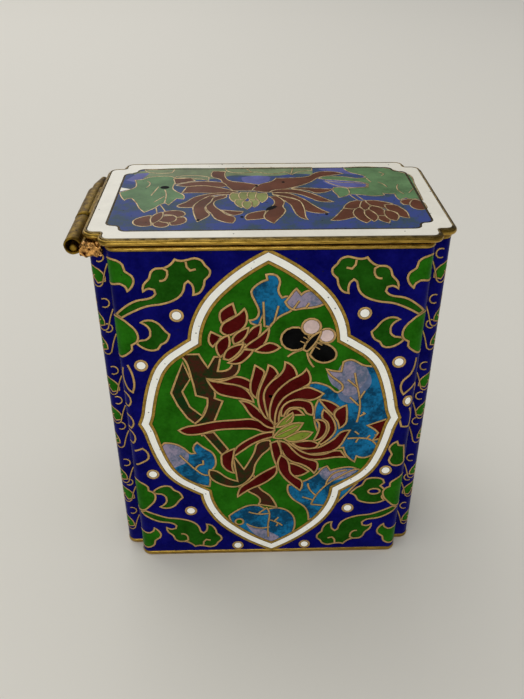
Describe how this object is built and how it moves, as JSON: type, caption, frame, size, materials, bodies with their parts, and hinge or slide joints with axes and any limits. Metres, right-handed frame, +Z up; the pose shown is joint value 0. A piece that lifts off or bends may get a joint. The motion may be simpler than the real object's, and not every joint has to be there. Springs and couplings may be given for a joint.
{
  "type": "cloisonne enamel box",
  "caption": "Upright cloisonne enamel box with stepped corners, brass bands at foot and mouth, and a flat enamelled lid hinged at one end.",
  "frame": {"origin": "centre of the underside", "axes": "+Z up, +X along the width away from the hinge, -Y the front that shows the white-edged panel"},
  "size_m": [0.0705, 0.0406, 0.0792],
  "materials": {
    "cobalt_enamel": "polished cloisonne enamel: cobalt ground, green scrolls, white-edged panels, brass wires",
    "lid_enamel": "polished cloisonne enamel: white border, blue ground, maroon flowers, green leaves, brass wires",
    "brass_bands": "worn gilt brass, darker in the grooves",
    "hinge_brass": "dull brown patina on rolled brass tube"
  },
  "bodies": {
    "box": {"case": "cobalt_enamel", "foot_band": "brass_bands", "mouth_band": "brass_bands", "front_knuckle": "hinge_brass", "rear_knuckle": "hinge_brass", "hinge_pin": "hinge_brass"},
    "lid": {"lid_frame": "brass_bands", "lid_panel": "lid_enamel", "lid_knuckle": "hinge_brass"}
  },
  "joints": [
    {"name": "lid_hinge", "type": "hinge", "parent": "box", "child": "lid", "pos_m": [-0.03517, 0, 0.07664], "axis": [0, -1, 0], "range_deg": [0, 110]}
  ]
}
